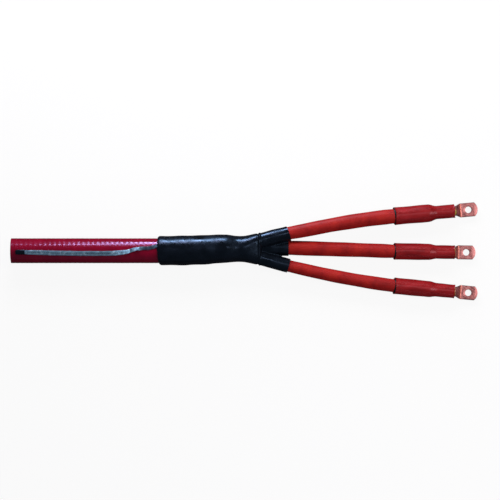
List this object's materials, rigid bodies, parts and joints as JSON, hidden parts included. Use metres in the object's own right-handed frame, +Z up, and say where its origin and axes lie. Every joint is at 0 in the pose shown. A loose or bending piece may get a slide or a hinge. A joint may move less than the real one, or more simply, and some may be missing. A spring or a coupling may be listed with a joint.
{
  "type": "cable termination",
  "caption": "Indoor heat-shrink end for a screened power cable: breakout boot with fingers, insulated cores with copper lugs, and a flat earth braid laid back on the sheath.",
  "frame": {"origin": "middle of the part's footprint on the ground it lies on", "axes": "+X along the cable towards the lugs, +Z up, +Y towards core 1"},
  "size_m": [0.9283, 0.1957, 0.0592],
  "materials": {
    "red_sheath": "smooth extruded PVC",
    "grey_filler": "extruded filler",
    "copper": "bare copper",
    "mastic_black": "tacky sealing mastic",
    "spring_steel": "stainless strip",
    "boot_black": "heat-shrunk polyolefin, half gloss",
    "tinned_braid": "tinned copper braid",
    "cap_black": "heat-shrunk tube",
    "insulation_white": "cross-linked polyethylene",
    "semicon_black": "semiconducting polymer",
    "tube_red": "heat-shrunk anti-tracking polymer",
    "sleeve_red": "heat-shrunk sealing sleeve",
    "mastic_yellow": "soft sealing mastic"
  },
  "bodies": {
    "root": {"cable_sheath": "red_sheath", "cable_filler": "grey_filler", "copper_screen": "copper", "sealing_mastic": "mastic_black", "roll_spring": "spring_steel", "breakout_boot": "boot_black", "earth_braid": "tinned_braid", "braid_end_sleeve": "cap_black", "conductor_1": "copper", "conductor_2": "copper", "conductor_3": "copper", "insulation_1": "insulation_white", "insulation_2": "insulation_white", "insulation_3": "insulation_white", "semicon_1": "semicon_black", "semicon_2": "semicon_black", "semicon_3": "semicon_black", "stress_tube_1": "semicon_black", "stress_tube_2": "semicon_black", "stress_tube_3": "semicon_black", "core_tube_1": "tube_red", "core_tube_2": "tube_red", "core_tube_3": "tube_red", "lug_mastic_1": "mastic_yellow", "lug_mastic_2": "mastic_yellow", "lug_mastic_3": "mastic_yellow", "lug_sleeve_1": "sleeve_red", "lug_sleeve_2": "sleeve_red", "lug_sleeve_3": "sleeve_red", "lug_1": "copper", "lug_2": "copper", "lug_3": "copper"}
  },
  "joints": []
}
